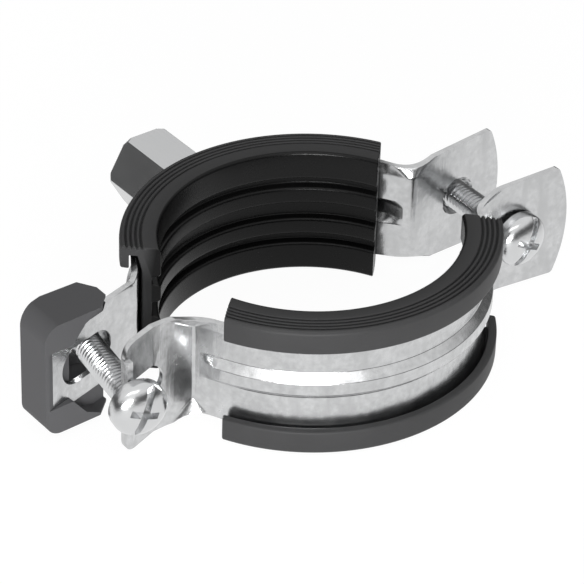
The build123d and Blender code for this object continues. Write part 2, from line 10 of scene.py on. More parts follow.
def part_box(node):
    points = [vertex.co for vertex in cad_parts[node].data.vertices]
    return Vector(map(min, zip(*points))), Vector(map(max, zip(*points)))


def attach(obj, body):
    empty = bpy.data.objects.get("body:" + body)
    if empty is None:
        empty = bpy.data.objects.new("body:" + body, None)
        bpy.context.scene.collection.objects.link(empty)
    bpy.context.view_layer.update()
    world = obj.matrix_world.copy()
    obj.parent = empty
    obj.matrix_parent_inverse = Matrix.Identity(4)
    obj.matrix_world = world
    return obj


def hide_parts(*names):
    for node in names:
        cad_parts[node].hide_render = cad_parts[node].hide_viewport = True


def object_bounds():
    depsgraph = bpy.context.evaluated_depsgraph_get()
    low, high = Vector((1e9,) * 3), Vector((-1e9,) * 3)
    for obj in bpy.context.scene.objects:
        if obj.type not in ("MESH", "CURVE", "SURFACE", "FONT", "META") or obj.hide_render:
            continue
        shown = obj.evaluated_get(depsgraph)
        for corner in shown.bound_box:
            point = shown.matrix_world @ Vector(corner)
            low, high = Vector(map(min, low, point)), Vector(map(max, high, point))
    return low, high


bl_info = {
    "name": "Pipe Clamp Dresser",
    "version": (1, 0, 0),
    "blender": (4, 5, 0),
    "location": "3D View > Sidebar > Pipe Clamp",
    "description": "Finishes a rubber lined two-piece pipe clamp round its packed frame",
    "category": "Object",
}

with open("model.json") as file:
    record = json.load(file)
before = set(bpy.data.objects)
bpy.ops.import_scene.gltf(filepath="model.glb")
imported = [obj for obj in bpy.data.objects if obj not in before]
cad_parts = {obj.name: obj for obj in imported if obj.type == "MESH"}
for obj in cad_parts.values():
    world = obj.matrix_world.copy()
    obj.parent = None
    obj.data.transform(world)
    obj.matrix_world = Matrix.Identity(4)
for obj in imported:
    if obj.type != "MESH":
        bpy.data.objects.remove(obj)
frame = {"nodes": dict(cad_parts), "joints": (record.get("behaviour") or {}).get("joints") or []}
CAD_BOX = [list(corner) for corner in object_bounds()]
MM = 0.001

# Linings, in millimetres and degrees
SEAT_RADIUS = 25.0
RIDGE_DEPTH = 1.4
MIDDLE_RECESS_HALF = 1.3
INNER_RIDGE_WIDTH = 3.6
SIDE_RECESS_WIDTH = 1.3
INNER_ANGLE = 64.2
OUTER_ANGLE = 60.0
REAR_TURN = 1.5
FRONT_TURN = 2.6
FRONT_CENTER = (1.8, 3.1)
STEEL_INNER = 28.0
EDGE_RISE = 0.7
PANEL_HALF_WIDTH = 7.05
LIP_INNER = 30.0
LIP_OUTER = 31.4
LIP_HEIGHT = 4.3
LIP_CLEARANCE = 0.05
SLOT_HALF = 10.0
CROWN = 0.45
LIP_CROWN = 0.5
FACE_GROOVES = 4
FIRST_GROOVE = 27.95
GROOVE_STEP = 0.8
GROOVE_HALF = 0.24
GROOVE_DEPTH = 0.5
END_CHAMFER = 0.14
CORNER_ROUNDING = 0.5
CORNER_STEPS = 4
CORNER_SHARE = 0.45
# Mask of the pipe's side, which carries painted shade and a smoother skin: its fade width, face
# margin and share on the top and bottom faces
SHADE_AND_GLOSS_FADE = 0.2
FACE_MARGIN = 0.1
FACE_SHADE_AND_GLOSS = 0.35

# Beads of the steel, in millimetres and degrees
BEAD_FOOT = 2.4
BEAD_TOP = 1.05
BEAD_REACH = 28.5
CREASE_NEAR = 0.02
CREASE_ANGLE = 15.0

# Side screws, in millimetres
CORE_RADIUS = 1.9
THREAD_RADIUS = 2.5
RIDGE_SHARE = 0.4
SHANK_LENGTH = 25.0
PLAIN_LENGTH = 1.0
POINT_LENGTH = 0.6
POINT_RADIUS = THREAD_RADIUS - 2 * POINT_LENGTH
ROOT_START = 0.1
HEAD_RADIUS = 4.75
HEAD_SIDE = 1.4
HEAD_HEIGHT = 3.7
HEAD_FULLNESS = 2.3
HEAD_CHAMFER = 0.12
HEAD_ROUNDING = 0.1
HEAD_RINGS = 14
HEAD_FACETS = 72
SLOT_WIDTH = 1.2
CROSS_LENGTH = 5.0
CUT_PAST = 1.0
LEFT_RECESS_TURN = math.radians(70)
RIGHT_RECESS_TURN = math.radians(62)

# Connection nut, in millimetres
BORE_RADIUS = 4.3
BORE_DEPTH = 9.5
BORE_PITCH = 1.5
BORE_ROOT_RADIUS = 4.95
BORE_CREST_RADIUS = 4.22
BORE_NEAR = 0.05
THREAD_STEPS = 28

# Clean-up of meshes, in metres and degrees
WELD_POINTS = 1e-7
WELD_FRAME = 2e-6
FLAT_ANGLE = 0.6

# Photograph's camera: angles in radians, lengths in metres, lens in the picture's pixels
AZIMUTH = 0.6617336
ELEVATION = 0.5990224
ROLL = 0.0322966
DISTANCE = 0.550
SHIFT_RIGHT = 0.0031650
SHIFT_UP = -0.0003599
LENS_PIXELS = 3363.98
PICTURE_PIXELS = 584.0
SENSOR = 36.0
NEAR_CLIP = 0.05
FAR_CLIP = 20.0

# Floor, in metres, with the reach of its painted pool of light, and its paint and glow as shares
# of white
FLOOR_HALF = 1.5
FLOOR_GAP = 0.00002
WHITE_REACH = 0.07
DARK_REACH = 0.20
FLOOR_PAINT = 0.9
FLOOR_GLOW = 0.9
SEEN_FLOOR = 1.06

# Sky: heights as shares of straight up, and its levels
DARK_HEIGHT = 0.26
BRIGHT_HEIGHT = 0.50
LOW_SKY = 0.10
HIGH_SKY = 0.40
MIRRORED_SKY = 0.92

# Lamps: direction, distance, width and height in metres, level
LAMPS = {
    "key": ((-0.60, -0.74, 0.15), 0.65, (0.34, 0.12), 0.95),
    "top": ((-0.35, -0.45, 0.83), 0.80, (0.70, 0.16), 0.10),
}


# Sizes and colours


class ClampSizes(bpy.types.PropertyGroup):
    thread_pitch: FloatProperty(
        name="Thread pitch",
        description="Distance between two turns of the side screws' thread",
        default=0.0008,
        min=0.0004,
        unit="LENGTH",
        precision=5,
    )
    thread_depth: FloatProperty(
        name="Thread depth",
        description="Height of the side screws' thread over its core",
        default=0.00062,
        unit="LENGTH",
        precision=5,
    )
    recess_depth: FloatProperty(
        name="Recess depth",
        description="Depth of the slot and cross in the screw heads",
        default=0.0017,
        unit="LENGTH",
        precision=5,
    )
    sheet_edge: FloatProperty(
        name="Sheet edge",
        description="Rounding of the steel's cut edges",
        default=0.00014,
        unit="LENGTH",
        precision=5,
    )
    clip_edge: FloatProperty(
        name="Clip edge",
        description="Rounding of the plastic clip's edges",
        default=0.00045,
        unit="LENGTH",
        precision=5,
    )
    bead_round: FloatProperty(
        name="Bead rounding",
        description="Rounding of the pressed beads in the steel",
        default=0.00095,
        unit="LENGTH",
        precision=5,
    )
    lining_steps: IntProperty(
        name="Lining steps",
        description="Steps of each lining round the pipe",
        default=120,
        min=24,
    )


class ClampColours(bpy.types.PropertyGroup):
    steel: FloatVectorProperty(
        name="Steel",
        description="Colour of the zinc plated steel",
        subtype="COLOR",
        size=3,
        default=(0.61, 0.615, 0.62),
        min=0,
        max=1,
    )
    rubber: FloatVectorProperty(
        name="Rubber",
        description="Colour of the lining rubber",
        subtype="COLOR",
        size=3,
        default=(0.052, 0.052, 0.053),
        min=0,
        max=1,
    )
    plastic: FloatVectorProperty(
        name="Plastic",
        description="Colour of the screw retainer",
        subtype="COLOR",
        size=3,
        default=(0.092, 0.092, 0.094),
        min=0,
        max=1,
    )


# Shader maths


class Wire:
    """A shader socket that adds Math nodes when it is used in an expression."""

    def __init__(self, tree, socket):
        self.tree = tree
        self.socket = socket

    def _math(self, operation, *values):
        node = self.tree.nodes.new("ShaderNodeMath")
        node.operation = operation
        for slot, value in zip(node.inputs, values):
            join(self.tree, value, slot)
        return Wire(self.tree, node.outputs[0])

    def __add__(self, other):
        return self._math("ADD", self, other)

    def __radd__(self, other):
        return self._math("ADD", other, self)

    def __sub__(self, other):
        return self._math("SUBTRACT", self, other)

    def __rsub__(self, other):
        return self._math("SUBTRACT", other, self)

    def __mul__(self, other):
        return self._math("MULTIPLY", self, other)

    def __rmul__(self, other):
        return self._math("MULTIPLY", other, self)

    def __truediv__(self, other):
        return self._math("DIVIDE", self, other)


def join(tree, value, slot):
    """Puts a number, a colour or a wire into a socket."""
    if isinstance(value, Wire):
        tree.links.new(value.socket, slot)
    else:
        slot.default_value = value


class Graph:
    """A node tree under construction: one method adds every node that isn't plain maths."""

    def __init__(self, tree):
        self.tree = tree
        self.tree.nodes.clear()

    def node(self, kind, settings, values, output=0):
        made = self.tree.nodes.new(kind)
        for key, value in settings.items():
            if key == "stops":
                ramp = made.color_ramp
                while len(ramp.elements) < len(value):
                    ramp.elements.new(0.5)
                for element, (position, level) in zip(ramp.elements, value):
                    element.position = position
                    element.color = (level, level, level, 1)
            else:
                setattr(made, key, value)
        for key, value in values.items():
            join(self.tree, value, made.inputs[key])
        return Wire(self.tree, made.outputs[output] if made.outputs else None)

    def ramp(self, value, stops):
        return self.node("ShaderNodeValToRGB", {"stops": stops}, {"Fac": value}, "Color")

    def blend(self, factor, first, second):
        return self.node(
            "ShaderNodeMix", {"data_type": "RGBA"}, {0: factor, 6: first, 7: second}, 2
        )

    def is_ray(self, kind):
        return self.node("ShaderNodeLightPath", {}, {}, "Is " + kind + " Ray")

    def seen(self):
        """1 for rays that show the backdrop: the camera's own, mirrored and refracted ones."""
        shown = self.is_ray("Camera") + self.is_ray("Glossy") + self.is_ray("Transmission")
        return self.node("ShaderNodeClamp", {}, {"Value": shown})

    def mixed(self, factor, first, second):
        return self.node("ShaderNodeMixShader", {}, {0: factor, 1: first, 2: second})


class Finish(Graph):
    """A material under construction, with its Principled shader."""

    def __init__(self, name):
        self.material = bpy.data.materials.new(name)
        self.material.use_nodes = True
        super().__init__(self.material.node_tree)
        self.shader = self.tree.nodes.new("ShaderNodeBsdfPrincipled")
        surface = Wire(self.tree, self.shader.outputs[0])
        self.node("ShaderNodeOutputMaterial", {}, {"Surface": surface})
        self.place = self.node("ShaderNodeTexCoord", {}, {}, "Object")

    def noise(self, scale, detail, rough, place=None):
        return self.node(
            "ShaderNodeTexNoise",
            {},
            {"Vector": place or self.place, "Scale": scale, "Detail": detail, "Roughness": rough},
            "Fac",
        )

    def stretch(self, scale):
        return self.node(
            "ShaderNodeMapping",
            {"vector_type": "POINT"},
            {"Vector": self.place, "Scale": scale},
            "Vector",
        )

    def bump(self, height, strength, distance):
        return self.node(
            "ShaderNodeBump",
            {},
            {"Height": height, "Strength": strength, "Distance": distance},
            "Normal",
        )

    def put(self, **values):
        for key, value in values.items():
            join(self.tree, value, self.shader.inputs[key.replace("_", " ")])
        return self.material


def rgba(colour, share):
    """Colour made lighter or darker, with full alpha."""
    return (colour[0] * share, colour[1] * share, colour[2] * share, 1.0)


def zinc_sheet(colour):
    """Bright zinc plating over rolled sheet: faint cloudy patches, fine rolling grain, and long
    darker streaks that are painted reflections of dark things nearby.
    """
    finish = Finish("zinc_sheet")
    clouds = finish.noise(160.0, 3.0, 0.55)
    spangle = finish.noise(900.0, 2.0, 0.5)
    grain = finish.noise(1500.0, 2.0, 0.6, finish.stretch((1.0, 1.0, 0.12)))
    dents = finish.noise(260.0, 1.0, 0.4)
    # Painted reflection: stretched noise makes long streaks that darken the base colour to 0.88.
    reflection_streak_noise = finish.noise(420.0, 2.0, 0.5, finish.stretch((1.0, 1.0, 0.22)))
    painted_reflection_streaks = finish.ramp(reflection_streak_noise, [(0.28, 0.0), (0.5, 1.0)])
    patch = finish.ramp(clouds * 0.5 + spangle * 0.5, [(0.38, 0.0), (0.62, 1.0)])
    plain = finish.blend(patch, rgba(colour, 0.90), rgba(colour, 1.10))
    height = dents * 0.8 + grain * 0.14 + spangle * 0.12
    return finish.put(
        Base_Color=finish.blend(painted_reflection_streaks, rgba(colour, 0.88), plain),
        Roughness=clouds * 0.14 + spangle * 0.08 + 0.13,
        Metallic=1.0,
        Normal=finish.bump(height, 0.42, 0.0003),
    )


def painted_thread_root_shade(colour):
    """Painted shade at the bottom of the side screws' thread: dull steel darkened to 0.06 to 0.20
    of its colour, with a random mottle.
    """
    finish = Finish("painted_thread_root_shade")
    shade_mottle = finish.noise(900.0, 2.0, 0.5)
    return finish.put(
        Base_Color=finish.blend(shade_mottle, rgba(colour, 0.06), rgba(colour, 0.20)),
        Roughness=shade_mottle * 0.2 + 0.4,
        Metallic=1.0,
    )


def zinc_screw(colour):
    """Bright plated screw steel, a little rougher, with fine turning marks."""
    finish = Finish("zinc_screw")
    speck = finish.noise(1400.0, 3.0, 0.6)
    clouds = finish.noise(300.0, 2.0, 0.5)
    return finish.put(
        Base_Color=finish.blend(clouds, rgba(colour, 1.0), rgba(colour, 1.2)),
        Roughness=clouds * 0.12 + speck * 0.08 + 0.12,
        Metallic=1.0,
        Normal=finish.bump(speck, 0.25, 0.0001),
    )


def moulded_rubber(colour):
    """Matt rubber with a dull bloom outside; on the pipe's side a smoother skin, and painted
    shade that darkens it to 0.12 of the colour.
    """
    finish = Finish("moulded_rubber")
    skin = finish.noise(2600.0, 3.0, 0.6)
    bloom = finish.noise(120.0, 2.0, 0.5)
    seat = finish.node("ShaderNodeAttribute", {"attribute_name": "seat"}, {}, "Fac")
    dusty = finish.blend(bloom, rgba(colour, 0.85), rgba(colour, 1.15))
    finish.shader.inputs["Specular IOR Level"].default_value = 0.18
    return finish.put(
        # Painted shade: where the seat mask is set, the base colour drops to 0.12 of the rubber's
        # colour to stand in for the shade inside the ring; the lower roughness there is a real
        # smoother skin.
        Base_Color=finish.blend(seat, dusty, rgba(colour, 0.12)),
        Roughness=bloom * 0.10 + skin * 0.06 + 0.40 - seat * 0.20,
        Normal=finish.bump(skin, 0.18, 0.00012),
    )


def clip_plastic(colour):
    """Dark grey moulded plastic with a fine spark-eroded grain."""
    finish = Finish("clip_plastic")
    grain = finish.noise(3200.0, 2.0, 0.6)
    haze = finish.noise(140.0, 2.0, 0.5)
    finish.shader.inputs["Specular IOR Level"].default_value = 0.35
    return finish.put(
        Base_Color=finish.blend(haze, rgba(colour, 0.92), rgba(colour, 1.08)),
        Roughness=grain * 0.10 + 0.46,
        Normal=finish.bump(grain, 0.2, 0.00012),
    )


def zinc_nut(colour):
    """Turned and drilled steel of the connection nut."""
    finish = Finish("zinc_nut")
    grain = finish.noise(1800.0, 2.0, 0.6, finish.stretch((1.0, 0.08, 1.0)))
    clouds = finish.noise(130.0, 3.0, 0.5)
    return finish.put(
        Base_Color=finish.blend(clouds, rgba(colour, 0.94), rgba(colour, 1.06)),
        Roughness=clouds * 0.10 + 0.20,
        Metallic=1.0,
        Normal=finish.bump(grain, 0.16, 0.0001),
    )


def get_finish(maker, colour):
    """Material that a maker function makes and names after itself, made only once."""
    return bpy.data.materials.get(maker.__name__) or maker(colour)


# Mesh helpers


def new_mesh(name, verts, faces, material, angle=35.0):
    """Mesh object from points in millimetres, with smooth shading up to an angle."""
    mesh = bpy.data.meshes.new(name)
    mesh.from_pydata([Vector(v) * MM for v in verts], [], faces)
    obj = bpy.data.objects.new(name, mesh)
    bpy.context.scene.collection.objects.link(obj)
    mesh.materials.append(material)
    tidy_mesh(mesh, angle)
    return obj


def tidy_mesh(mesh, angle):
    """Welds a mesh, turns its faces outwards and smooths it up to an angle."""
    work = bmesh.new()
    work.from_mesh(mesh)
    bmesh.ops.remove_doubles(work, verts=work.verts, dist=WELD_POINTS)
    bmesh.ops.recalc_face_normals(work, faces=work.faces)
    work.to_mesh(mesh)
    work.free()
    mesh.shade_smooth()
    mesh.set_sharp_from_angle(angle=math.radians(angle))


def baked(obj, modifiers, angle=40.0):
    """Applies the given modifiers and leaves a plain mesh, smooth up to an angle."""
    mesh = bpy.data.meshes.new_from_object(
        obj.evaluated_get(bpy.context.evaluated_depsgraph_get())
    )
    for modifier in modifiers:
        obj.modifiers.remove(modifier)
    obj.data = mesh
    mesh.shade_smooth()
    mesh.set_sharp_from_angle(angle=math.radians(angle))


def edge_rounding(obj, width, segments, angle=30.0):
    """Bevel for the edges that are sharper than an angle."""
    bevel = obj.modifiers.new("edge", "BEVEL")
    bevel.width = width
    bevel.segments = segments
    bevel.limit_method = "ANGLE"
    bevel.angle_limit = math.radians(angle)
    bevel.use_clamp_overlap = True
    return bevel


def soften(work, heights, width):
    """Rounds the creases that run round the band at the given heights either side."""
    near = CREASE_NEAR * MM

    def on_crease(vert):
        if abs(vert.co.x) > BEAD_REACH * MM:
            return False
        return any(abs(abs(vert.co.z) - height * MM) < near for height in heights)

    creases = [
        edge
        for edge in work.edges
        if all(on_crease(vert) for vert in edge.verts)
        and abs(edge.verts[0].co.z - edge.verts[1].co.z) < near
        and edge.calc_face_angle(0.0) > math.radians(CREASE_ANGLE)
    ]
    bmesh.ops.bevel(
        work,
        geom=creases,
        offset=width,
        offset_type="OFFSET",
        segments=4,
        profile=0.5,
        affect="EDGES",
        clamp_overlap=True,
    )


def finished_copy(node, name, material, edge, segments=2, reshape=None, bead_round=0.0):
    """Copy of a CAD node whose sharp edges get a small rounding."""
    mesh = frame["nodes"][node].data.copy()
    mesh.name = name
    mesh.materials.clear()
    mesh.materials.append(material)
    work = bmesh.new()
    work.from_mesh(mesh)
    bmesh.ops.remove_doubles(work, verts=work.verts, dist=WELD_FRAME)
    bmesh.ops.dissolve_limit(
        work, angle_limit=math.radians(FLAT_ANGLE), verts=work.verts, edges=work.edges
    )
    if reshape:
        for vert in work.verts:
            vert.co = reshape(vert.co)
    if bead_round:
        soften(work, (BEAD_FOOT, BEAD_TOP), bead_round)
    work.to_mesh(mesh)
    work.free()
    obj = bpy.data.objects.new(name, mesh)
    bpy.context.scene.collection.objects.link(obj)
    baked(obj, [edge_rounding(obj, edge, segments)])
    level = obj.modifiers.new("level", "WEIGHTED_NORMAL")
    level.keep_sharp = True
    level.weight = 100
    obj.data = bpy.data.meshes.new_from_object(
        obj.evaluated_get(bpy.context.evaluated_depsgraph_get())
    )
    obj.modifiers.remove(level)
    return obj


def rounded(points):
    """Closed outline whose corners, given as (x, y, share of the rounding), become small arcs."""
    out = []
    count = len(points)
    for i, (x, y, share) in enumerate(points):
        here = Vector((x, y))
        before = Vector(points[i - 1][:2]) - here
        after = Vector(points[(i + 1) % count][:2]) - here
        side = min(before.length, after.length)
        reach = min(CORNER_ROUNDING * share, side * CORNER_SHARE)
        start = here + before.normalized() * reach
        end = here + after.normalized() * reach
        for k in range(CORNER_STEPS + 1):
            t = k / CORNER_STEPS
            spot = start * (1 - t) ** 2 + here * 2 * t * (1 - t) + end * t**2
            out.append((spot.x, spot.y))
    return out


# Geometry Nodes helpers


def node_tree(name, inputs):
    """New tree that has a Geometry output and the given inputs, with its two end nodes."""
    tree = bpy.data.node_groups.new(name, "GeometryNodeTree")
    tree.interface.new_socket("Geometry", in_out="OUTPUT", socket_type="NodeSocketGeometry")
    tree.interface.new_socket("Geometry", in_out="INPUT", socket_type="NodeSocketGeometry")
    for label, kind, default in inputs:
        socket = tree.interface.new_socket(label, in_out="INPUT", socket_type=kind)
        if default is not None:
            socket.default_value = default
    start = tree.nodes.new("NodeGroupInput")
    end = tree.nodes.new("NodeGroupOutput")
    return tree, start, end


def add_node(tree, kind, settings=None, **values):
    """Adds a node with its settings, and joins or sets its sockets."""
    made = tree.nodes.new(kind)
    for key, value in (settings or {}).items():
        setattr(made, key, value)
    for key, value in values.items():
        slot = made.inputs[key.replace("_", " ")]
        if isinstance(value, bpy.types.NodeSocket):
            tree.links.new(value, slot)
        else:
            slot.default_value = value
    return made


def thread_tree():
    """Helical ridge of a screw thread, turned up round Z."""
    existing = bpy.data.node_groups.get("thread_ridge")
    if existing:
        return existing
    tree, start, end = node_tree(
        "thread_ridge",
        [
            ("Turns", "NodeSocketFloat", 20.0),
            ("Length", "NodeSocketFloat", 0.02),
            ("Radius", "NodeSocketFloat", 0.002),
            ("Ridge", "NodeSocketVector", (0.0005, 0.0004, 1.0)),
            ("Finish", "NodeSocketMaterial", None),
        ],
    )
    spiral = add_node(
        tree,
        "GeometryNodeCurveSpiral",
        Resolution=THREAD_STEPS,
        Rotations=start.outputs["Turns"],
        Start_Radius=start.outputs["Radius"],
        End_Radius=start.outputs["Radius"],
        Height=start.outputs["Length"],
    )
    spiral.inputs["Reverse"].default_value = False
    upright = add_node(
        tree, "GeometryNodeSetCurveNormal", {"mode": "Z_UP"}, Curve=spiral.outputs[0]
    )
    kite = add_node(tree, "GeometryNodeCurvePrimitiveCircle", Resolution=4, Radius=1.0)
    shape = add_node(
        tree,
        "GeometryNodeTransform",
        Geometry=kite.outputs[0],
        Scale=start.outputs["Ridge"],
    )
    sweep = add_node(tree, "GeometryNodeCurveToMesh", Curve=upright.outputs[0])
    tree.links.new(shape.outputs[0], sweep.inputs["Profile Curve"])
    sweep.inputs["Fill Caps"].default_value = True
    real = add_node(tree, "GeometryNodeRealizeInstances", Geometry=sweep.outputs[0])
    paint = add_node(
        tree,
        "GeometryNodeSetMaterial",
        Geometry=real.outputs[0],
        Material=start.outputs["Finish"],
    )
    tree.links.new(paint.outputs[0], end.inputs[0])
    return tree


def grown(name, tree, values, place):
    """Runs a tree on an empty mesh and leaves a plain mesh, moved to its place."""
    obj = bpy.data.objects.new(name, bpy.data.meshes.new(name))
    bpy.context.scene.collection.objects.link(obj)
    modifier = obj.modifiers.new("grow", "NODES")
    modifier.node_group = tree
    sockets = [item for item in tree.interface.items_tree if item.in_out == "INPUT"]
    ids = {item.name: item.identifier for item in sockets}
    for label, value in values.items():
        modifier[ids[label]] = value
    baked(obj, [modifier], 35.0)
    obj.data.transform(place)
    return obj


def ride_as(obj, body, node=None):
    """Puts a piece on its body and hides the CAD node that it stands for, if one is given."""
    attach(obj, body)
    if node:
        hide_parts(node)


# Linings


def lining_profile():
    """Section of the rubber in (radius, height), in millimetres, going round once."""
    floor = SEAT_RADIUS + RIDGE_DEPTH
    slant = RIDGE_DEPTH / 4
    inner_end = MIDDLE_RECESS_HALF + INNER_RIDGE_WIDTH
    side_start = inner_end + SIDE_RECESS_WIDTH
    face = max(corner.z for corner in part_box("rear_lining")) / MM
    top = [
        (floor, MIDDLE_RECESS_HALF, 0.6),
        (SEAT_RADIUS, MIDDLE_RECESS_HALF + slant, 1.0),
        (SEAT_RADIUS, inner_end - slant, 1.0),
        (floor, inner_end, 0.6),
        (floor, side_start, 0.6),
        (SEAT_RADIUS, side_start + slant, 1.0),
        (SEAT_RADIUS, face - CROWN, 1.4),
        (SEAT_RADIUS + CROWN, face, 0.8),
    ]
    for i in range(FACE_GROOVES):
        middle = FIRST_GROOVE + i * GROOVE_STEP
        top += [
            (middle - GROOVE_HALF, face, 0.3),
            (middle, face - GROOVE_DEPTH, 0.3),
            (middle + GROOVE_HALF, face, 0.3),
        ]
    top += [
        (LIP_OUTER - LIP_CROWN, face, 1.0),
        (LIP_OUTER, face - LIP_CROWN, 1.0),
        (LIP_OUTER, face - LIP_HEIGHT, 0.9),
        (LIP_INNER, face - LIP_HEIGHT, 0.6),
        (LIP_INNER, SLOT_HALF, 0.3),
        (STEEL_INNER + EDGE_RISE - LIP_CLEARANCE, SLOT_HALF, 0.3),
        (STEEL_INNER - LIP_CLEARANCE, PANEL_HALF_WIDTH + LIP_CLEARANCE, 0.3),
    ]
    bottom = [(radius, -height, share) for radius, height, share in reversed(top)]
    return rounded(top + bottom)


def inset(outline, amount):
    """Closed outline moved inwards by a small amount."""
    moved = []
    for i, (x, y) in enumerate(outline):
        before = Vector(outline[i - 1])
        after = Vector(outline[(i + 1) % len(outline)])
        run = (after - before).normalized()
        moved.append((x + run.y * amount, y - run.x * amount))
    return moved


def lining(name, center, facing, turn, steps, material):
    """Sweeps the section round the seat, with slanted ends, and marks the pipe's side with a mask
    for painted shade and a smoother skin.
    """
    section = lining_profile()
    top = max(height for radius, height in section)
    small = inset(section, END_CHAMFER)
    nudge = END_CHAMFER / (math.radians(INNER_ANGLE) * SEAT_RADIUS)
    stations = [(-1.0, small)]
    stations += [((1 - nudge) * (2 * i / steps - 1), section) for i in range(steps + 1)]
    stations.append((1.0, small))
    verts = []
    skin = []
    for share, outline in stations:
        for radius, height in outline:
            slant = (radius - SEAT_RADIUS) / (LIP_OUTER - SEAT_RADIUS)
            angle = share * (INNER_ANGLE + slant * (OUTER_ANGLE - INNER_ANGLE))
            place = math.radians(angle - turn)
            verts.append(
                (
                    center[0] + radius * math.sin(place),
                    center[1] + facing * radius * math.cos(place),
                    height,
                )
            )
            # Mask for painted shade and smoother skin: full on the pipe's side, fading out over
            # the fade width, weaker on the top and bottom faces.
            deep = (SEAT_RADIUS + RIDGE_DEPTH + SHADE_AND_GLOSS_FADE - radius) / SHADE_AND_GLOSS_FADE
            share_left = 1.0 if abs(height) < top - FACE_MARGIN else FACE_SHADE_AND_GLOSS
            skin.append(min(1.0, max(0.0, deep)) * share_left)
    count = len(section)
    faces = [tuple(range(count))]
    for i in range(len(stations) - 1):
        for k in range(count):
            a = i * count + k
            b = i * count + (k + 1) % count
            faces.append((a, b, b + count, a + count))
    faces.append(tuple((len(stations) - 1) * count + k for k in reversed(range(count))))
    obj = new_mesh(name, verts, faces, material, 32.0)
    obj.data.attributes.new("seat", "FLOAT", "POINT").data.foreach_set("value", skin)
    return obj


class CLAMP_OT_linings(bpy.types.Operator):
    """Model both rubber linings with their ridges, lips and fine face grooves"""

    bl_idname = "clamp.linings"
    bl_label = "Linings"

    def execute(self, context):
        rubber = get_finish(moulded_rubber, context.scene.clamp_colours.rubber)
        steps = context.scene.clamp_sizes.lining_steps
        for node, center, facing, turn, body in (
            ("rear_lining", (0.0, 0.0), 1, REAR_TURN, "rear"),
            ("front_lining", FRONT_CENTER, -1, FRONT_TURN, "front"),
        ):
            obj = lining(node + "_rubber", center, facing, turn, steps, rubber)
            ride_as(obj, body, node)
        return {"FINISHED"}


class CLAMP_OT_bands(bpy.types.Operator):
    """Give both stamped bands their zinc finish and rounded sheet edges"""

    bl_idname = "clamp.bands"
    bl_label = "Steel bands"

    def execute(self, context):
        sizes = context.scene.clamp_sizes
        zinc = get_finish(zinc_sheet, context.scene.clamp_colours.steel)
        for node, body in (("rear_band", "rear"), ("front_band", "front")):
            obj = finished_copy(
                node, node + "_steel", zinc, sizes.sheet_edge, bead_round=sizes.bead_round
            )
            ride_as(obj, body, node)
        return {"FINISHED"}


# Screws


def turned(outline, turns):
    """Vertices and faces of a solid turned round Z from (radius, height) points."""
    verts = []
    faces = [tuple(reversed(range(turns)))]
    for radius, height in outline:
        for k in range(turns):
            angle = 2 * math.pi * k / turns
            verts.append((radius * math.cos(angle), radius * math.sin(angle), height))
    for i in range(len(outline) - 1):
        for k in range(turns):
            a = i * turns + k
            b = i * turns + (k + 1) % turns
            faces.append((a, b, b + turns, a + turns))
    faces.append(tuple((len(outline) - 1) * turns + k for k in range(turns)))
    return verts, faces


def screw_outline():
    """Shank core and pan head in (radius, height), from the point up to the top of the dome."""
    outline = [
        (POINT_RADIUS, -SHANK_LENGTH),
        (CORE_RADIUS, POINT_LENGTH - SHANK_LENGTH),
        (CORE_RADIUS, 0.0),
        (HEAD_RADIUS - HEAD_CHAMFER, 0.0),
        (HEAD_RADIUS, HEAD_CHAMFER),
    ]
    for k in range(HEAD_RINGS):
        radius = HEAD_RADIUS * math.cos(math.pi / 2 * k / HEAD_RINGS)
        full = 1 - (radius / HEAD_RADIUS) ** HEAD_FULLNESS
        outline.append((radius, HEAD_SIDE + (HEAD_HEIGHT - HEAD_SIDE) * math.sqrt(full)))
    return outline


def recess_cutter(depth, material):
    """Slot across the whole head, and a short second slot square to it."""
    cutters = []
    across = 2 * HEAD_RADIUS + CUT_PAST
    for length, width in ((across, SLOT_WIDTH), (SLOT_WIDTH, CROSS_LENGTH)):
        half_x, half_y = length / 2, width / 2
        ring = [(-half_x, -half_y), (half_x, -half_y), (half_x, half_y), (-half_x, half_y)]
        verts = [(x, y, HEAD_HEIGHT - depth) for x, y in ring]
        verts += [(x, y, HEAD_HEIGHT + CUT_PAST) for x, y in ring]
        faces = [(3, 2, 1, 0), (4, 5, 6, 7)]
        faces += [(k, (k + 1) % 4, (k + 1) % 4 + 4, k + 4) for k in range(4)]
        cutters.append(new_mesh("recess_cutter", verts, faces, material))
    return cutters


def screw_body(name, recess_depth, material, painted_root_shade):
    """Head and shank core as one mesh, with the recess cut into the head."""
    verts, faces = turned(screw_outline(), HEAD_FACETS)
    body = new_mesh(name, verts, faces, material, 30.0)
    body.data.materials.append(painted_root_shade)
    # Faces of the shank core below the head take the painted shade of the thread's roots; the
    # head keeps the plating.
    for face in body.data.polygons:
        face.material_index = int(face.center.z < -ROOT_START * MM)
    cutters = recess_cutter(recess_depth, material)
    modifiers = []
    for cutter in cutters:
        carve = body.modifiers.new("carve", "BOOLEAN")
        carve.operation = "DIFFERENCE"
        carve.solver = "EXACT"
        carve.object = cutter
        modifiers.append(carve)
    modifiers.append(edge_rounding(body, HEAD_ROUNDING * MM, 2, 40.0))
    baked(body, modifiers, 30.0)
    for cutter in cutters:
        bpy.data.objects.remove(cutter)
    return body


def screw_place(joint, turn):
    """Matrix that puts a screw's head base on its joint, with its head against the axis."""
    up = -Vector(joint["axis"]).normalized()
    side = Vector((0, 0, 1)).cross(up).normalized()
    across = up.cross(side)
    place = Matrix((side, across, up)).transposed().to_4x4()
    return Matrix.Translation(Vector(joint["pos_m"])) @ place @ Matrix.Rotation(turn, 4, "Z")


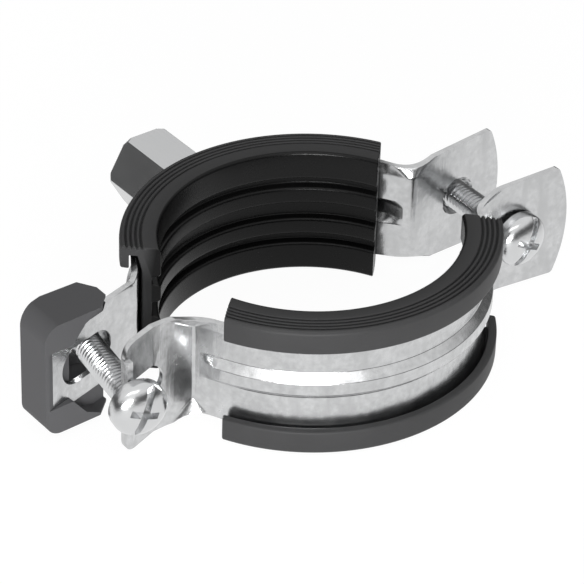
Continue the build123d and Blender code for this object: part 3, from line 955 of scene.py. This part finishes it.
class CLAMP_OT_screws(bpy.types.Operator):
    """Model both side screws with domed heads, combined recess and rolled threads"""

    bl_idname = "clamp.screws"
    bl_label = "Side screws"

    def execute(self, context):
        sizes = context.scene.clamp_sizes
        zinc = get_finish(zinc_screw, context.scene.clamp_colours.steel)
        painted_root_shade = get_finish(painted_thread_root_shade, context.scene.clamp_colours.steel)
        joints = {joint["child"]: joint for joint in frame["joints"]}
        length = (SHANK_LENGTH - POINT_LENGTH - PLAIN_LENGTH) * MM
        for node, turn in (
            ("left_screw", LEFT_RECESS_TURN),
            ("right_screw", RIGHT_RECESS_TURN),
        ):
            place = screw_place(joints[node], turn)
            body = screw_body(node + "_head", sizes.recess_depth / MM, zinc, painted_root_shade)
            body.data.transform(place)
            thread = grown(
                node + "_thread",
                thread_tree(),
                {
                    "Turns": length / sizes.thread_pitch,
                    "Length": length,
                    "Radius": THREAD_RADIUS * MM - sizes.thread_depth,
                    "Ridge": (sizes.thread_depth, sizes.thread_pitch * RIDGE_SHARE, 1.0),
                    "Finish": zinc,
                },
                place @ Matrix.Translation((0, 0, (POINT_LENGTH - SHANK_LENGTH) * MM)),
            )
            ride_as(body, node, node)
            ride_as(thread, node)
        return {"FINISHED"}


class CLAMP_OT_nuts(bpy.types.Operator):
    """Finish the connection nut with its thread, and the small square nut"""

    bl_idname = "clamp.nuts"
    bl_label = "Nuts"

    def execute(self, context):
        sizes = context.scene.clamp_sizes
        zinc = get_finish(zinc_nut, context.scene.clamp_colours.steel)
        edge = sizes.sheet_edge * 2
        end = max(corner.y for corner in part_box("connection_nut"))
        nut = finished_copy(
            "connection_nut", "connection_nut_steel", zinc, edge, reshape=self.bore_root
        )
        ride_as(nut, "rear", "connection_nut")
        turn = Matrix.Rotation(math.radians(-90), 4, "X")
        length = (BORE_DEPTH - BORE_PITCH) * MM
        thread = grown(
            "connection_nut_thread",
            thread_tree(),
            {
                "Turns": length / (BORE_PITCH * MM),
                "Length": length,
                "Radius": BORE_ROOT_RADIUS * MM,
                "Ridge": ((BORE_ROOT_RADIUS - BORE_CREST_RADIUS) * MM, BORE_PITCH / 2 * MM, 1.0),
                "Finish": zinc,
            },
            Matrix.Translation((0, end - length - BORE_PITCH / 2 * MM, 0)) @ turn,
        )
        ride_as(thread, "rear")
        small = finished_copy("retainer_nut", "retainer_nut_steel", zinc, edge)
        ride_as(small, "nut", "retainer_nut")
        return {"FINISHED"}

    @staticmethod
    def bore_root(spot):
        """Widens the connection bore from its core to the bottom of its thread."""
        reach = math.hypot(spot.x, spot.z)
        if abs(reach - BORE_RADIUS * MM) > BORE_NEAR * MM:
            return spot
        grow = BORE_ROOT_RADIUS * MM / reach
        return Vector((spot.x * grow, spot.y, spot.z * grow))


class CLAMP_OT_retainer(bpy.types.Operator):
    """Finish the plastic screw retainer with soft moulded edges"""

    bl_idname = "clamp.retainer"
    bl_label = "Screw retainer"

    def execute(self, context):
        grey = get_finish(clip_plastic, context.scene.clamp_colours.plastic)
        edge = context.scene.clamp_sizes.clip_edge
        obj = finished_copy("screw_retainer", "screw_retainer_clip", grey, edge, segments=3)
        ride_as(obj, "rear", "screw_retainer")
        return {"FINISHED"}


# Stage


def lamp(name, direction, distance, size, level):
    """Soft lamp aimed at the origin; level 1 lights a facing white surface to white."""
    aim = Vector(direction).normalized()
    data = bpy.data.lights.new(name, "AREA")
    data.shape = "RECTANGLE"
    data.size, data.size_y = size
    data.energy = level * (math.pi * distance) ** 2
    obj = bpy.data.objects.new(name, data)
    obj.location = aim * distance
    obj.rotation_euler = (-aim).to_track_quat("-Z", "Y").to_euler()
    obj.visible_camera = False
    bpy.context.scene.collection.objects.link(obj)


def place_camera():
    """Camera at the photograph's angle, distance and lens."""
    back = Vector(
        (
            -math.sin(AZIMUTH) * math.cos(ELEVATION),
            -math.cos(AZIMUTH) * math.cos(ELEVATION),
            math.sin(ELEVATION),
        )
    )
    level = Vector((math.cos(AZIMUTH), -math.sin(AZIMUTH), 0))
    rise = back.cross(level)
    right = math.cos(ROLL) * level + math.sin(ROLL) * rise
    up = -math.sin(ROLL) * level + math.cos(ROLL) * rise
    data = bpy.data.cameras.new("photo_camera")
    data.sensor_width = SENSOR
    data.lens = SENSOR * LENS_PIXELS / PICTURE_PIXELS
    data.clip_start, data.clip_end = NEAR_CLIP, FAR_CLIP
    camera = bpy.data.objects.new("photo_camera", data)
    turn = Matrix((right, up, back)).transposed().to_4x4()
    spot = back * DISTANCE - SHIFT_RIGHT * right - SHIFT_UP * up
    camera.matrix_world = Matrix.Translation(spot) @ turn
    bpy.context.scene.collection.objects.link(camera)
    bpy.context.scene.camera = camera


class CLAMP_OT_stage(bpy.types.Operator):
    """Set the pale floor, the soft lamps and the camera"""

    bl_idname = "clamp.stage"
    bl_label = "Stage"

    def execute(self, context):
        low = (CAD_BOX[0][2] - FLOOR_GAP) / MM
        half = FLOOR_HALF / MM
        corners = [(-half, -half, low), (half, -half, low), (half, half, low), (-half, half, low)]
        new_mesh("floor", corners, [(0, 1, 2, 3)], self.floor_finish())
        context.scene.world = self.studio()
        for name, settings in LAMPS.items():
            lamp(name, *settings)
        place_camera()
        context.scene.view_settings.view_transform = "Standard"
        return {"FINISHED"}

    @staticmethod
    def studio():
        """White behind the object, a soft sky that darkens to the horizon for its light."""
        world = bpy.data.worlds.new("studio")
        world.use_nodes = True
        graph = Graph(world.node_tree)
        toward = graph.node("ShaderNodeTexCoord", {}, {}, "Generated")
        height = graph.node("ShaderNodeSeparateXYZ", {}, {"Vector": toward}, "Z")
        dull = graph.ramp(height, [(DARK_HEIGHT, LOW_SKY), (BRIGHT_HEIGHT, HIGH_SKY)])
        bright = graph.ramp(height, [(DARK_HEIGHT, LOW_SKY), (BRIGHT_HEIGHT, MIRRORED_SKY)])
        level = graph.blend(graph.is_ray("Glossy"), dull, bright)
        sky = graph.node("ShaderNodeBackground", {}, {"Color": level})
        white = graph.node("ShaderNodeBackground", {}, {"Color": (1, 1, 1, 1)})
        mix = graph.mixed(graph.is_ray("Camera"), sky, white)
        graph.node("ShaderNodeOutputWorld", {}, {"Surface": mix})
        return world

    @staticmethod
    def floor_finish():
        """White floor that the camera sees as white; in reflections it glows as a painted pool of
        light, white near the object and dim further out; it keeps a faint shadow.
        """
        finish = Finish("white_floor")
        white = (1.0, 1.0, 1.0)
        finish.put(Base_Color=rgba(white, FLOOR_PAINT), Roughness=0.9)
        paint = Wire(finish.tree, finish.shader.outputs[0])
        # Painted pool of light: mirrored rays see the floor glow white within WHITE_REACH of the
        # origin, fading to the low sky's level by DARK_REACH.
        away = finish.node("ShaderNodeVectorMath", {"operation": "LENGTH"}, {0: finish.place}, 1)
        fall = (away - WHITE_REACH) / (DARK_REACH - WHITE_REACH)
        painted_light_pool = finish.ramp(fall, [(0.0, 1.0), (1.0, LOW_SKY)])
        shade = finish.blend(finish.is_ray("Camera"), painted_light_pool, rgba(white, SEEN_FLOOR))
        glow = finish.node("ShaderNodeEmission", {}, {"Color": shade})
        mix = finish.mixed(finish.seen() * FLOOR_GLOW, paint, glow)
        output = next(n for n in finish.tree.nodes if n.type == "OUTPUT_MATERIAL")
        join(finish.tree, mix, output.inputs["Surface"])
        return finish.material


class CLAMP_PT_sidebar(bpy.types.Panel):
    """Lists the clamp's pieces"""

    bl_label = "Pipe Clamp"
    bl_idname = "CLAMP_PT_sidebar"
    bl_space_type = "VIEW_3D"
    bl_region_type = "UI"
    bl_category = "Pipe Clamp"

    def draw(self, context):
        layout = self.layout
        for name in STEPS:
            layout.operator("clamp." + name)
        for group in (context.scene.clamp_sizes, context.scene.clamp_colours):
            box = layout.box()
            for key in group.__annotations__:
                box.prop(group, key)


STEPS = ("bands", "linings", "nuts", "retainer", "screws", "stage")
CLASSES = (
    ClampSizes,
    ClampColours,
    CLAMP_OT_bands,
    CLAMP_OT_linings,
    CLAMP_OT_nuts,
    CLAMP_OT_retainer,
    CLAMP_OT_screws,
    CLAMP_OT_stage,
    CLAMP_PT_sidebar,
)


def register():
    for item in CLASSES:
        bpy.utils.register_class(item)
    bpy.types.Scene.clamp_sizes = PointerProperty(type=ClampSizes)
    bpy.types.Scene.clamp_colours = PointerProperty(type=ClampColours)


def unregister():
    del bpy.types.Scene.clamp_colours
    del bpy.types.Scene.clamp_sizes
    for item in reversed(CLASSES):
        bpy.utils.unregister_class(item)


def main():
    register()
    for name in STEPS:
        getattr(bpy.ops.clamp, name)()


if __name__ == "__main__":
    main()
